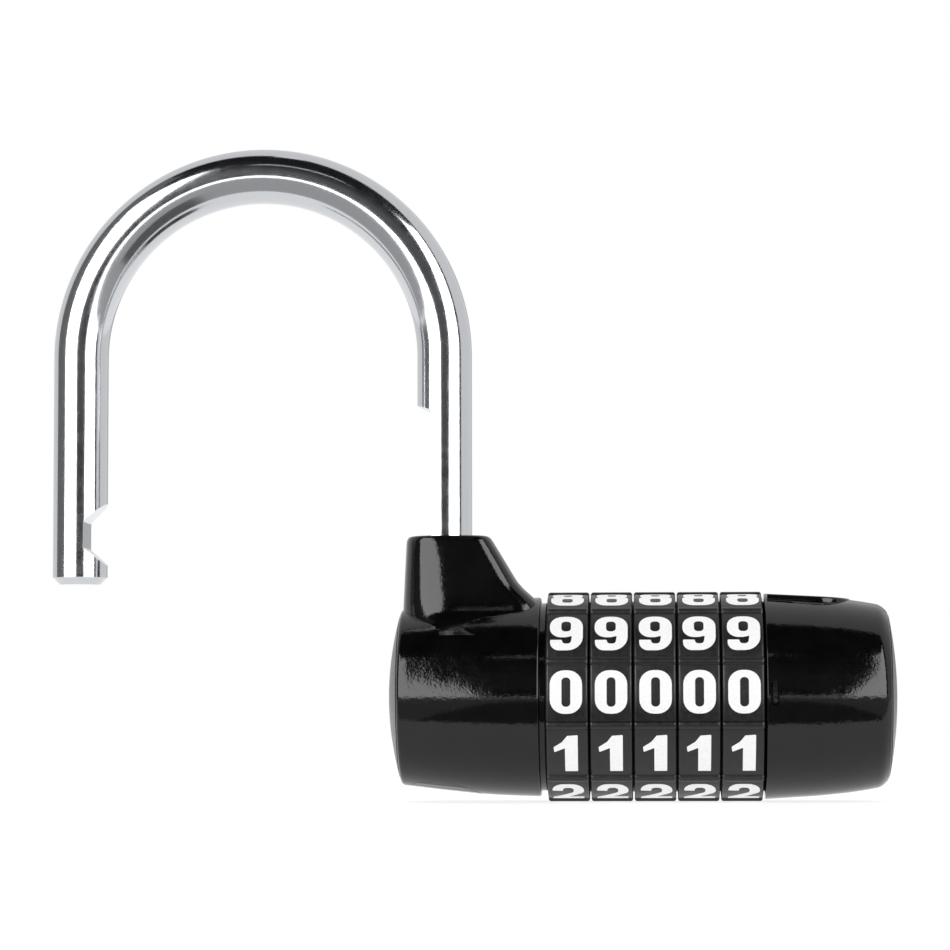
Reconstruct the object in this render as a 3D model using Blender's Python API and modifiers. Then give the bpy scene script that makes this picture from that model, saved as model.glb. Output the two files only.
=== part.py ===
"""Barrel combination padlock with five number dials, drawn open.

Metres, +Z up, +X along the barrel towards the toe side, dials read from -Y.
World origin: middle of the whole open lock, level with its lowest point.
Inside the lock frame the origin is the barrel axis at the middle dial.
"""

import math

import bmesh
import bpy

MM = 0.001

# Dials: five rings with ten crowned faces each.
DIALS = 5
DIAL_PITCH = 5.45 * MM
DIAL_WIDTH = 5.25 * MM
FACES = 10
FACE_TILT = math.radians(1.3)
FACE_RADIUS = 12.9 * MM
FACE_HALF_ANGLE = math.radians(15.7)
RIDGE_RADIUS = 13.25 * MM
RIDGE_SHOULDER_RADIUS = 13.17 * MM
DIAL_BORE_RADIUS = 8.0 * MM

# Barrel housings. Each profile runs from the dials outwards: (distance along X, radius).
HEEL_PROFILE = [(13.8, 12.3), (14.1, 12.65), (21.1, 12.4), (27.2, 11.75), (31.7, 11.2), (32.2, 10.8)]
TOE_PROFILE = [(13.8, 12.7), (14.1, 13.0), (20.4, 12.6), (25.0, 12.15), (28.6, 11.5), (29.3, 10.8)]
SOCKET_START = 13.0 * MM
END_DISC_RADIUS = 10.3 * MM
END_DISC_SEAT = 0.6 * MM
END_DISC_RIM = 0.15 * MM
HEEL_DOME = 1.55 * MM
TOE_DOME = 1.2 * MM
INDEX_MARK_X = (14.3 * MM, 15.3 * MM)
INDEX_MARK_Z = (-1.25 * MM, 1.75 * MM)
INDEX_MARK_RADIUS = 12.6 * MM

# Core tube, which carries dials and housings, with the bolt spindle inside it.
TUBE_RADIUS = 4.9 * MM
TUBE_BORE = 3.2 * MM
TUBE_NOSE_BORE = 1.9 * MM
TUBE_LEFT = -19.6 * MM
TUBE_RIGHT = 27.5 * MM
TUBE_SHOULDER = 15.6 * MM
SPRING_POCKET_DEPTH = 1.3 * MM
FIN_SLOT_WIDTH = 1.9 * MM
FIN_SLOT_HALF_LENGTH = 13.3 * MM
WASHER_KEY_WIDTH = 1.0 * MM
WASHER_KEY_RADIUS = 4.7 * MM
WASHER_KEYWAY_WIDTH = 1.4 * MM
WASHER_KEYWAY_RADIUS = 4.3 * MM

# Bolt spindle inside the tube: a thin body between two guide collars, a stem and a nose.
SPINDLE_RADIUS = 2.2 * MM
COLLAR_RADIUS = 3.1 * MM
COLLAR_INNER_X = 13.6 * MM
HEEL_COLLAR_END = 15.6 * MM
STEM_RADIUS = 1.5 * MM
STEM_END = 18.4 * MM
NOSE_RADIUS = 1.6 * MM
NOSE_CHAMFER = 0.7 * MM

# Code sleeves, keyed inside the dials, and the spindle's fins.
SLEEVE_RADIUS = 7.9 * MM
SLEEVE_LAND = 5.05 * MM
SLEEVE_GROOVE = 6.3 * MM
SLEEVE_WIDTH = 4.55 * MM
WEB_HALF = 0.3 * MM
GROOVE_LEFT = -1.85 * MM
GROOVE_RIGHT = 1.65 * MM
FLUTE_DEPTH = 0.35 * MM
FLUTE_HALF_ANGLE = math.radians(6)
GATE_WIDTH = 2.1 * MM
KEY_WIDTH = 1.4 * MM
KEY_RADIUS = 7.4 * MM
KEYWAY_CLEARANCE = 0.15 * MM
FIN_RADIUS = 5.95 * MM
FIN_WIDTH = 1.5 * MM
FIN_THICKNESS = 0.9 * MM
FIN_OFFSET = 1.0 * MM
WASHER_RADIUS = 7.2 * MM
WASHER_THICKNESS = 0.6 * MM
RUNNING_GAP = 0.1 * MM
CLICK_SPRING_THICKNESS = 0.2 * MM
CLICK_SPRING_WIDTH = 0.9 * MM
CLICK_SPRING_CROWN = 0.85 * MM
CLICK_SPRING_CROWN_SHARE = 0.55
CLICK_SPRING_HALF_ANGLE = math.radians(48)

# Shackle, raised and turned half round, so that its toe hangs beyond the heel end.
ROD_RADIUS = 3.5 * MM
HEEL_X = -26.7 * MM
TOE_X = 20.16 * MM
LEG_SPACING = TOE_X - HEEL_X
TOE_END_Z = 14.45 * MM
HEEL_END_Z = 14.0 * MM
HEEL_END_BEVEL = 0.35 * MM
ARCH_Z = 43.6 * MM
TOE_CHAMFER = 0.9 * MM
NOTCH_Z = 20.84 * MM
NOTCH_MOUTH_HALF = 3.95 * MM
NOTCH_FLOOR_HALF = 1.79 * MM
NOTCH_DEPTH = 2.65 * MM
FLAT_DEPTH = 2.0 * MM
FLAT_TOP_Z = 37.2 * MM
FLAT_SLOPE = 0.75 * MM
FLAT_BOTTOM_Z = 16.2 * MM
CLIP_GROOVE_RADIUS = 2.7 * MM
CLIP_GROOVE_Z = (14.45 * MM, 15.25 * MM)
CLIP_THICKNESS = 0.5 * MM
CLIP_RADIUS = 4.2 * MM
CLIP_HALF_OPENING = math.radians(35)

# Turret on the heel housing, with the heel bore and the spring chamber under it.
TURRET_TOP_Z = 20.33 * MM
TURRET_END_SIDE_POWER = 2.8
TURRET_DIAL_SIDE_POWER = 5.0
HEEL_BORE_RADIUS = 3.65 * MM
CHAMBER_RADIUS = 4.4 * MM
CHAMBER_TOP_Z = 15.5 * MM
CHAMBER_FLOOR_Z = -10.2 * MM
PLUG_RADIUS = 4.7 * MM
PLUG_HEIGHT = 2.5 * MM
THRUST_WASHER_RADIUS = 4.15 * MM
THRUST_WASHER_BORE = 1.2 * MM
THRUST_WASHER_THICKNESS = 0.7 * MM
THRUST_WASHER_GAP = 0.2 * MM

# Toe hole, bolt and springs.
TOE_HOLE_RADIUS = 3.7 * MM
TOE_HOLE_BOTTOM_Z = -7.0 * MM
TOE_LAND_RADIUS = 4.7 * MM
TOE_LAND_LEFT = 14.15 * MM
TOE_LAND_Z = 12.5 * MM
TOE_LAND_TILT = math.radians(2.9)
TOE_LAND_HEIGHT = 5.0 * MM
BOLT_NOSE_X = 18.4 * MM
LIFT_SPRING_WIRE = 0.25 * MM
LIFT_SPRING_RADIUS = 3.4 * MM
LIFT_SPRING_TURNS = 5
BOLT_SPRING_WIRE = 0.22 * MM
BOLT_SPRING_RADIUS = 2.3 * MM
BOLT_SPRING_TURNS = 4
SPRING_END_GAP = 0.15 * MM
PIN_RADIUS = 0.8 * MM
PIN_CLEARANCE = 0.1 * MM
HEEL_PIN_X = -17.3 * MM
TOE_PIN_X = 26.1 * MM
PIN_INNER_Y = 3.4 * MM
HEEL_PIN_OUTER_Y = 12.3 * MM
TOE_PIN_OUTER_Y = 11.7 * MM

# How far cutters reach past a surface, and past the whole barrel.
CUT_PAST = 1 * MM
CUT_FAR = 15 * MM

BARREL_SEGMENTS = 40
SLEEVE_SEGMENTS = 20
ALONG_X = (math.pi / 2, 0.0, math.pi / 2)
DOWN = -math.pi / 2
UP = math.pi / 2

LEFT_END_X = HEEL_X - LEG_SPACING - ROD_RADIUS
RIGHT_END_X = TOE_PROFILE[-1][0] * MM + TOE_DOME
FRAME_LOCATION = (-(LEFT_END_X + RIGHT_END_X) / 2, 0.0, RIDGE_RADIUS * math.cos(FACE_TILT))


def clear_scene():
    for obj in list(bpy.data.objects):
        bpy.data.objects.remove(obj, do_unlink=True)


def new_collection(name):
    collection = bpy.data.collections.new(name)
    bpy.context.scene.collection.children.link(collection)
    return collection


def new_material(name, color, roughness, metallic):
    material = bpy.data.materials.new(name)
    material.use_nodes = True
    shader = material.node_tree.nodes["Principled BSDF"]
    shader.inputs["Base Color"].default_value = (*color, 1.0)
    shader.inputs["Roughness"].default_value = roughness
    shader.inputs["Metallic"].default_value = metallic
    return material


def new_empty(name, location, parent=None):
    empty = bpy.data.objects.new(name, None)
    empty.empty_display_size = 5 * MM
    PARTS.objects.link(empty)
    empty.location = location
    empty.parent = parent
    return empty


def place(obj, parent, location, rotation, finish):
    """Makes the object a node with a material, or a hidden cutter where finish is None."""
    collection = CUTTERS if finish is None else PARTS
    collection.objects.link(obj)
    obj.parent = parent
    obj.location = location
    obj.rotation_euler = rotation
    if finish is None:
        obj.hide_render = True
        obj.display_type = "WIRE"
    else:
        color, roughness, metallic = finish
        obj.data.materials.append(new_material(obj.name, color, roughness, metallic))
    return obj


def smooth(obj, degrees=35):
    obj.data.shade_smooth()
    obj.data.set_sharp_from_angle(angle=math.radians(degrees))


def turned(name, profile, segments, parent, location, rotation, finish):
    """Turns a closed profile of (radius, height) about local Z.

    The profile runs down its outer side and back up its inner side. Where it
    starts and ends on the axis, the piece is solid there.
    """
    mesh = bpy.data.meshes.new(name)
    points = [(radius, 0.0, height) for radius, height in profile]
    edges = [(i, i + 1) for i in range(len(points) - 1)]
    on_axis = profile[0][0] == 0 and profile[-1][0] == 0
    if not on_axis:
        edges.append((len(points) - 1, 0))
    mesh.from_pydata(points, edges, [])
    obj = place(bpy.data.objects.new(name, mesh), parent, location, rotation, finish)
    screw = obj.modifiers.new("Turn", "SCREW")
    screw.axis = "Z"
    screw.angle = 2 * math.pi
    screw.steps = segments
    screw.render_steps = segments
    screw.use_merge_vertices = True
    screw.merge_threshold = 0.00001
    screw.use_smooth_shade = True
    return obj


def rod_profile(radius, low, high):
    return [(0.0, high), (radius, high), (radius, low), (0.0, low)]


def tube_profile(outer, inner, low, high):
    return [(outer, high), (outer, low), (inner, low), (inner, high)]


def to_mesh_object(curve_object, parent, location, rotation, finish):
    """Turns a curve object into a welded mesh object in the same place."""
    name = curve_object.name
    curve_object.name = name + "_curve"
    bpy.context.scene.collection.objects.link(curve_object)
    bpy.context.view_layer.update()
    graph = bpy.context.evaluated_depsgraph_get()
    mesh = bpy.data.meshes.new_from_object(curve_object.evaluated_get(graph))
    mesh.name = name
    welded = bmesh.new()
    welded.from_mesh(mesh)
    bmesh.ops.remove_doubles(welded, verts=welded.verts, dist=0.000001)
    bmesh.ops.recalc_face_normals(welded, faces=welded.faces)
    welded.to_mesh(mesh)
    welded.free()
    mesh.materials.clear()
    bpy.data.objects.remove(curve_object)
    return place(bpy.data.objects.new(name, mesh), parent, location, rotation, finish)


def extruded(name, outlines, thickness, parent, location, rotation, finish):
    """Extrudes flat outlines, the first outer and the others holes, centred on local Z."""
    curve = bpy.data.curves.new(name, "CURVE")
    curve.dimensions = "2D"
    curve.fill_mode = "BOTH"
    curve.extrude = thickness / 2
    for outline in outlines:
        spline = curve.splines.new("POLY")
        spline.points.add(len(outline) - 1)
        for point, (x, y) in zip(spline.points, outline):
            point.co = (x, y, 0.0, 1.0)
        spline.use_cyclic_u = True
    curve_object = bpy.data.objects.new(name, curve)
    return to_mesh_object(curve_object, parent, location, rotation, finish)


def wire(name, points, radius, sides_step, parent, location, finish):
    """A round wire along points of (x, y, z, radius factor)."""
    curve = bpy.data.curves.new(name, "CURVE")
    curve.dimensions = "3D"
    curve.bevel_depth = radius
    curve.bevel_resolution = sides_step
    curve.use_fill_caps = True
    spline = curve.splines.new("POLY")
    spline.points.add(len(points) - 1)
    for point, (x, y, z, factor) in zip(spline.points, points):
        point.co = (x, y, z, 1.0)
        point.radius = factor
    curve_object = bpy.data.objects.new(name, curve)
    return to_mesh_object(curve_object, parent, location, (0, 0, 0), finish)


def boolean(obj, operation, other):
    modifier = obj.modifiers.new(other.name, "BOOLEAN")
    modifier.operation = operation
    modifier.solver = "EXACT"
    modifier.object = other


def box_cutter(name, low, high, parent):
    mesh = bpy.data.meshes.new(name)
    shape = bmesh.new()
    bmesh.ops.create_cube(shape, size=1.0)
    middle = [(a + b) / 2 for a, b in zip(low, high)]
    size = [b - a for a, b in zip(low, high)]
    for vertex in shape.verts:
        vertex.co = [m + s * c for m, s, c in zip(middle, size, vertex.co)]
    shape.to_mesh(mesh)
    shape.free()
    return place(bpy.data.objects.new(name, mesh), parent, (0, 0, 0), (0, 0, 0), None)


def polar(radius, angle):
    return (radius * math.cos(angle), radius * math.sin(angle))


def arc(radius, start, end, steps):
    return [polar(radius, start + (end - start) * i / steps) for i in range(steps + 1)]


def dial_center(index):
    return (index - (DIALS - 1) / 2) * DIAL_PITCH


# Finishes: colour, roughness, metallic.
PAINT = ((0.012, 0.012, 0.014), 0.18, 0.0)
CHROME = ((0.78, 0.79, 0.80), 0.08, 1.0)
DIAL_BLACK = ((0.018, 0.018, 0.020), 0.42, 0.0)
BRASS = ((0.72, 0.55, 0.25), 0.35, 1.0)
STEEL = ((0.55, 0.56, 0.58), 0.35, 1.0)
ZINC = ((0.42, 0.43, 0.45), 0.45, 1.0)
END_GREY = ((0.30, 0.30, 0.31), 0.50, 0.0)


def barrel_outline(profile, sign):
    """Outer side of a housing as (radius, x), from the larger x to the smaller."""
    points = [(radius * MM, sign * x * MM) for x, radius in profile]
    return sorted(points, key=lambda point: -point[1])


def turret_ring(z, left, right, half_depth, count=28):
    """A rounded-rectangle ring at height z, between x = left and x = right, squarer on the right."""
    middle = (left + right) / 2
    half = (right - left) / 2
    ring = []
    for i in range(count):
        angle = 2 * math.pi * i / count
        power = TURRET_DIAL_SIDE_POWER if math.cos(angle) > 0 else TURRET_END_SIDE_POWER
        across = math.copysign(abs(math.cos(angle)) ** (2 / power), math.cos(angle))
        along = math.copysign(abs(math.sin(angle)) ** (2 / power), math.sin(angle))
        ring.append((middle + half * across, half_depth * along, z))
    return ring


def make_turret():
    """The neck that stands on the heel housing: rings of (z, left, right, half depth) in mm."""
    levels = [
        (4.0, -31.2, -15.2, 6.6),
        (10.2, -32.0, -14.4, 7.6),
        (12.0, -31.95, -14.7, 6.9),
        (12.8, -31.9, -15.6, 6.5),
        (14.6, -31.8, -17.4, 6.1),
        (17.6, -31.65, -19.2, 5.8),
        (19.5, -31.55, -20.35, 5.6),
        (20.1, -31.35, -20.75, 5.45),
        (TURRET_TOP_Z / MM, -31.0, -21.3, 5.1),
    ]
    shape = bmesh.new()
    rings = []
    for z, left, right, half_depth in levels:
        ring = turret_ring(z * MM, left * MM, right * MM, half_depth * MM)
        rings.append([shape.verts.new(point) for point in ring])
    count = len(rings[0])
    for low, high in zip(rings, rings[1:]):
        for i in range(count):
            j = (i + 1) % count
            shape.faces.new((low[i], low[j], high[j], high[i]))
    shape.faces.new(list(reversed(rings[0])))
    shape.faces.new(rings[-1])
    mesh = bpy.data.meshes.new("turret_shape")
    shape.to_mesh(mesh)
    shape.free()
    obj = bpy.data.objects.new("turret_shape", mesh)
    return place(obj, LOCK, (0, 0, 0), (0, 0, 0), None)


def pin_hole(name, x):
    radius = PIN_RADIUS + PIN_CLEARANCE
    profile = rod_profile(radius, PIN_INNER_Y - PIN_CLEARANCE, CUT_FAR)
    return turned(name, profile, 12, LOCK, (x, 0, 0), (-math.pi / 2, 0, 0), None)


def make_heel_housing():
    outline = barrel_outline(HEEL_PROFILE, -1)
    profile = [(0.0, outline[0][1]), *outline, (0.0, outline[-1][1])]
    housing = turned("heel_housing", profile, BARREL_SEGMENTS, LOCK, (0, 0, 0), ALONG_X, PAINT)
    boolean(housing, "UNION", make_turret())
    end = HEEL_PROFILE[-1][0] * MM
    bores = [
        (0.0, TURRET_TOP_Z + CUT_PAST),
        (HEEL_BORE_RADIUS, TURRET_TOP_Z + CUT_PAST),
        (HEEL_BORE_RADIUS, CHAMBER_TOP_Z),
        (CHAMBER_RADIUS, CHAMBER_TOP_Z),
        (CHAMBER_RADIUS, CHAMBER_FLOOR_Z),
        (PLUG_RADIUS + RUNNING_GAP, CHAMBER_FLOOR_Z),
        (PLUG_RADIUS + RUNNING_GAP, -CUT_FAR),
        (0.0, -CUT_FAR),
    ]
    heel_bore = turned("heel_bore", bores, 24, LOCK, (HEEL_X, 0, 0), (0, 0, 0), None)
    socket_radius = TUBE_RADIUS + RUNNING_GAP
    socket_end = TUBE_LEFT - RUNNING_GAP
    socket = [
        (0.0, -SOCKET_START),
        (socket_radius, -SOCKET_START),
        (socket_radius, socket_end),
        (TUBE_BORE, socket_end),
        (TUBE_BORE, socket_end - SPRING_POCKET_DEPTH),
        (0.0, socket_end - SPRING_POCKET_DEPTH),
    ]
    tube_socket = turned("heel_socket", socket, SLEEVE_SEGMENTS, LOCK, (0, 0, 0), ALONG_X, None)
    seat = rod_profile(END_DISC_RADIUS + RUNNING_GAP, -end - CUT_PAST, -end + END_DISC_SEAT)
    end_seat = turned("heel_end_seat", seat, BARREL_SEGMENTS, LOCK, (0, 0, 0), ALONG_X, None)
    for cutter in (heel_bore, tube_socket, end_seat, pin_hole("heel_pin_hole", HEEL_PIN_X)):
        boolean(housing, "DIFFERENCE", cutter)


def make_toe_land():
    """The flat raised land round the toe hole, which runs on to the dials."""
    left = TOE_LAND_LEFT - TOE_X
    end = arc(TOE_LAND_RADIUS, DOWN, UP, 16)
    outline = [(left, -TOE_LAND_RADIUS), *end, (left, TOE_LAND_RADIUS)]
    middle = (TOE_X, 0, TOE_LAND_Z - TOE_LAND_HEIGHT / 2)
    tilt = (0, TOE_LAND_TILT, 0)
    return extruded("toe_land", [outline], TOE_LAND_HEIGHT, LOCK, middle, tilt, None)


def make_toe_housing():
    outline = barrel_outline(TOE_PROFILE, 1)
    profile = [(0.0, outline[0][1]), *outline, (0.0, outline[-1][1])]
    housing = turned("toe_housing", profile, BARREL_SEGMENTS, LOCK, (0, 0, 0), ALONG_X, PAINT)
    boolean(housing, "UNION", make_toe_land())
    end = TOE_PROFILE[-1][0] * MM
    socket = rod_profile(TUBE_RADIUS + RUNNING_GAP, SOCKET_START, TUBE_RIGHT + RUNNING_GAP)
    tube_socket = turned("toe_socket", socket, SLEEVE_SEGMENTS, LOCK, (0, 0, 0), ALONG_X, None)
    seat = rod_profile(END_DISC_RADIUS + RUNNING_GAP, end - END_DISC_SEAT, end + CUT_PAST)
    end_seat = turned("toe_end_seat", seat, BARREL_SEGMENTS, LOCK, (0, 0, 0), ALONG_X, None)
    hole = rod_profile(TOE_HOLE_RADIUS, TOE_HOLE_BOTTOM_Z, CUT_FAR)
    toe_hole = turned("toe_hole", hole, 24, LOCK, (TOE_X, 0, 0), (0, 0, 0), None)
    mark_low = (INDEX_MARK_X[0], -CUT_FAR, INDEX_MARK_Z[0])
    mark_high = (INDEX_MARK_X[1], -INDEX_MARK_RADIUS, INDEX_MARK_Z[1])
    mark = box_cutter("index_mark_cutter", mark_low, mark_high, LOCK)
    for cutter in (tube_socket, end_seat, toe_hole, pin_hole("toe_pin_hole", TOE_PIN_X), mark):
        boolean(housing, "DIFFERENCE", cutter)


def make_end_disc(name, face_x, sign, dome_height):
    """A shallow domed disc pressed into a housing's end. Height runs along +X."""
    inner = face_x - sign * (END_DISC_SEAT - RUNNING_GAP)
    rim = face_x + sign * END_DISC_RIM
    dome = []
    steps = 5
    for i in range(steps):
        share = i / steps
        height = END_DISC_RIM + (dome_height - END_DISC_RIM) * (1 - share**2)
        dome.append((END_DISC_RADIUS * share, face_x + sign * height))
    dome.append((END_DISC_RADIUS, rim))
    profile = [*dome, (END_DISC_RADIUS, inner), (0.0, inner)]
    if sign < 0:
        profile.reverse()
    turned(name, profile, BARREL_SEGMENTS, LOCK, (0, 0, 0), ALONG_X, END_GREY)


def make_chamber_plug():
    """Closes the spring chamber from below. Its bottom follows the barrel's surface."""
    low = CHAMBER_FLOOR_Z - PLUG_HEIGHT
    profile = rod_profile(PLUG_RADIUS, low, CHAMBER_FLOOR_Z - RUNNING_GAP)
    plug = turned("chamber_plug", profile, 24, LOCK, (HEEL_X, 0, 0), (0, 0, 0), PAINT)
    outline = barrel_outline(HEEL_PROFILE, -1)
    solid = [(0.0, outline[0][1]), *outline, (0.0, outline[-1][1])]
    limit = turned("plug_limit", solid, BARREL_SEGMENTS, LOCK, (0, 0, 0), ALONG_X, None)
    boolean(plug, "INTERSECT", limit)


def make_core_tube():
    profile = [
        (TUBE_RADIUS, TUBE_RIGHT),
        (TUBE_RADIUS, TUBE_LEFT),
        (TUBE_BORE, TUBE_LEFT),
        (TUBE_BORE, TUBE_SHOULDER),
        (TUBE_NOSE_BORE, TUBE_SHOULDER),
        (TUBE_NOSE_BORE, TUBE_RIGHT),
    ]
    tube = turned("core_tube", profile, SLEEVE_SEGMENTS, LOCK, (0, 0, 0), ALONG_X, STEEL)
    half = FIN_SLOT_WIDTH / 2
    slot = box_cutter(
        "fin_slot",
        (-FIN_SLOT_HALF_LENGTH, -half, -TUBE_RADIUS - CUT_PAST),
        (FIN_SLOT_HALF_LENGTH, half, -CUT_PAST),
        LOCK,
    )
    hole = rod_profile(TOE_HOLE_RADIUS, TOE_HOLE_BOTTOM_Z, -TOE_HOLE_BOTTOM_Z)
    cross_hole = turned("tube_cross_hole", hole, 24, LOCK, (TOE_X, 0, 0), (0, 0, 0), None)
    cutters = [slot, cross_hole]
    cutters.append(pin_hole("tube_heel_pin_hole", HEEL_PIN_X))
    cutters.append(pin_hole("tube_toe_pin_hole", TOE_PIN_X))
    keyway_half = WASHER_KEYWAY_WIDTH / 2
    keyway_low = (-FIN_SLOT_HALF_LENGTH, WASHER_KEYWAY_RADIUS, -keyway_half)
    keyway_high = (FIN_SLOT_HALF_LENGTH, TUBE_RADIUS + CUT_PAST, keyway_half)
    cutters.append(box_cutter("washer_keyway", keyway_low, keyway_high, LOCK))
    for cutter in cutters:
        boolean(tube, "DIFFERENCE", cutter)


def make_pin(name, x, outer_y):
    profile = rod_profile(PIN_RADIUS, PIN_INNER_Y, outer_y)
    turned(name, profile, 12, LOCK, (x, 0, 0), (-math.pi / 2, 0, 0), STEEL)


def dial_outline():
    """Ten crowned faces with a rounded ridge between each two, a face at the front (-Y)."""
    sector = 2 * math.pi / FACES
    ridge_half = sector / 2 - FACE_HALF_ANGLE
    points = []
    for face in range(FACES):
        middle = math.pi - FACE_TILT + face * sector
        points.extend(arc(FACE_RADIUS, middle - FACE_HALF_ANGLE, middle + FACE_HALF_ANGLE, 3))
        rise = middle + FACE_HALF_ANGLE + 0.4 * ridge_half
        points.append(polar(RIDGE_SHOULDER_RADIUS, rise))
        points.append(polar(RIDGE_RADIUS, middle + sector / 2))
        points.append(polar(RIDGE_SHOULDER_RADIUS, middle + sector / 2 + 0.6 * ridge_half))
    return points


def dial_bore():
    """The bore with one inward key at the top (+Z)."""
    half = math.asin(KEY_WIDTH / 2 / DIAL_BORE_RADIUS)
    points = arc(DIAL_BORE_RADIUS, UP + half, UP + 2 * math.pi - half, 20)
    points.append((KEY_WIDTH / 2, KEY_RADIUS))
    points.append((-KEY_WIDTH / 2, KEY_RADIUS))
    return points


def flute_outline():
    """Ten shallow click flutes around the groove beside a sleeve's web."""
    points = []
    sector = 2 * math.pi / FACES
    for face in range(FACES):
        middle = UP + face * sector
        points.append(polar(SLEEVE_GROOVE, middle - FLUTE_HALF_ANGLE))
        points.append(polar(SLEEVE_GROOVE + FLUTE_DEPTH, middle))
        points.append(polar(SLEEVE_GROOVE, middle + FLUTE_HALF_ANGLE))
        points.append(polar(SLEEVE_GROOVE, middle + sector / 2))
    return points


def make_dial(number):
    x = dial_center(number - 1)
    outlines = [dial_outline(), dial_bore()]
    dial = extruded(f"dial_{number}", outlines, DIAL_WIDTH, LOCK, (x, 0, 0), ALONG_X, DIAL_BLACK)
    smooth(dial, 20)


def sleeve_cutters(number, parent):
    """Gate, keyway and click flutes of one code sleeve."""
    gate_half = GATE_WIDTH / 2
    length = SLEEVE_WIDTH / 2 + CUT_PAST
    gate = box_cutter(
        f"gate_{number}",
        (-length, -gate_half, -SLEEVE_GROOVE),
        (length, gate_half, -SLEEVE_LAND + CUT_PAST),
        parent,
    )
    key_half = KEY_WIDTH / 2 + KEYWAY_CLEARANCE
    keyway = box_cutter(
        f"sleeve_keyway_{number}",
        (-length, -key_half, KEY_RADIUS - KEYWAY_CLEARANCE),
        (length, key_half, SLEEVE_RADIUS + CUT_PAST),
        parent,
    )
    middle = (WEB_HALF + GROOVE_RIGHT) / 2
    width = GROOVE_RIGHT - WEB_HALF
    flutes = extruded(f"flutes_{number}", [flute_outline()], width, parent, (middle, 0, 0), ALONG_X, None)
    return gate, keyway, flutes


def make_code_sleeve(number):
    center = new_empty(f"sleeve_center_{number}", (dial_center(number - 1), 0, 0), LOCK)
    half = SLEEVE_WIDTH / 2
    profile = [
        (SLEEVE_RADIUS, half),
        (SLEEVE_RADIUS, -half),
        (SLEEVE_LAND, -half),
        (SLEEVE_LAND, GROOVE_LEFT),
        (SLEEVE_GROOVE, GROOVE_LEFT),
        (SLEEVE_GROOVE, -WEB_HALF),
        (SLEEVE_LAND, -WEB_HALF),
        (SLEEVE_LAND, half),
    ]
    name = f"code_sleeve_{number}"
    sleeve = turned(name, profile, SLEEVE_SEGMENTS, center, (0, 0, 0), ALONG_X, BRASS)
    for cutter in sleeve_cutters(number, center):
        boolean(sleeve, "DIFFERENCE", cutter)


def make_spacer_washer(number):
    """A fixed washer between two sleeves: key at the back, slot for the fins below."""
    x = (dial_center(number - 1) + dial_center(number)) / 2
    slot_half = math.asin(GATE_WIDTH / 2 / WASHER_RADIUS)
    mouth_half = math.asin(GATE_WIDTH / 2 / SLEEVE_LAND)
    key_half = math.asin(WASHER_KEY_WIDTH / 2 / SLEEVE_LAND)
    outer = arc(WASHER_RADIUS, DOWN + slot_half, DOWN + 2 * math.pi - slot_half, 18)
    inner_upper = arc(SLEEVE_LAND, DOWN + 2 * math.pi - mouth_half, key_half, 13)
    key = [(WASHER_KEY_RADIUS, WASHER_KEY_WIDTH / 2), (WASHER_KEY_RADIUS, -WASHER_KEY_WIDTH / 2)]
    inner_lower = arc(SLEEVE_LAND, -key_half, DOWN + mouth_half, 4)
    outline = outer + inner_upper + key + inner_lower
    name = f"spacer_washer_{number}"
    extruded(name, [outline], WASHER_THICKNESS, LOCK, (x, 0, 0), ALONG_X, STEEL)


def make_click_spring(number):
    """A bent leaf over the core tube whose crown rests below a sleeve's click flutes."""
    outer = []
    inner = []
    steps = 12
    for i in range(steps + 1):
        share = 2 * i / steps - 1
        rise = max(0.0, 1 - (share / CLICK_SPRING_CROWN_SHARE) ** 2)
        radius = TUBE_RADIUS + 2 * RUNNING_GAP + CLICK_SPRING_CROWN * rise
        angle = UP - CLICK_SPRING_HALF_ANGLE * share
        inner.append(polar(radius, angle))
        outer.append(polar(radius + CLICK_SPRING_THICKNESS, angle))
    outline = inner + list(reversed(outer))
    x = dial_center(number - 1) + (WEB_HALF + GROOVE_RIGHT) / 2
    name = f"click_spring_{number}"
    extruded(name, [outline], CLICK_SPRING_WIDTH, LOCK, (x, 0, 0), ALONG_X, STEEL)


def make_bolt_spindle():
    """The bolt: a rod with one fin for each sleeve, a spring stem and a nose."""
    collar_end = TUBE_SHOULDER - 2 * RUNNING_GAP
    profile = [
        (0.0, BOLT_NOSE_X),
        (NOSE_RADIUS - NOSE_CHAMFER, BOLT_NOSE_X),
        (NOSE_RADIUS, BOLT_NOSE_X - NOSE_CHAMFER),
        (NOSE_RADIUS, collar_end),
        (COLLAR_RADIUS, collar_end),
        (COLLAR_RADIUS, COLLAR_INNER_X),
        (SPINDLE_RADIUS, COLLAR_INNER_X),
        (SPINDLE_RADIUS, -COLLAR_INNER_X),
        (COLLAR_RADIUS, -COLLAR_INNER_X),
        (COLLAR_RADIUS, -HEEL_COLLAR_END),
        (STEM_RADIUS, -HEEL_COLLAR_END),
        (STEM_RADIUS, -STEM_END),
        (0.0, -STEM_END),
    ]
    spindle = turned("bolt_spindle", profile, SLEEVE_SEGMENTS, LOCK, (0, 0, 0), ALONG_X, STEEL)
    for index in range(DIALS):
        x = dial_center(index) + FIN_OFFSET
        fin = box_cutter(
            f"fin_{index + 1}",
            (x - FIN_THICKNESS / 2, -FIN_WIDTH / 2, -FIN_RADIUS),
            (x + FIN_THICKNESS / 2, FIN_WIDTH / 2, -SPINDLE_RADIUS / 2),
            LOCK,
        )
        boolean(spindle, "UNION", fin)


def helix(radius, start, end, turns, per_turn=10):
    """Centreline of a spring along local Z, as (x, y, z, radius factor)."""
    count = turns * per_turn
    points = []
    for i in range(count + 1):
        angle = 2 * math.pi * i / per_turn
        points.append((*polar(radius, angle), start + (end - start) * i / count, 1.0))
    return points


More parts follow.
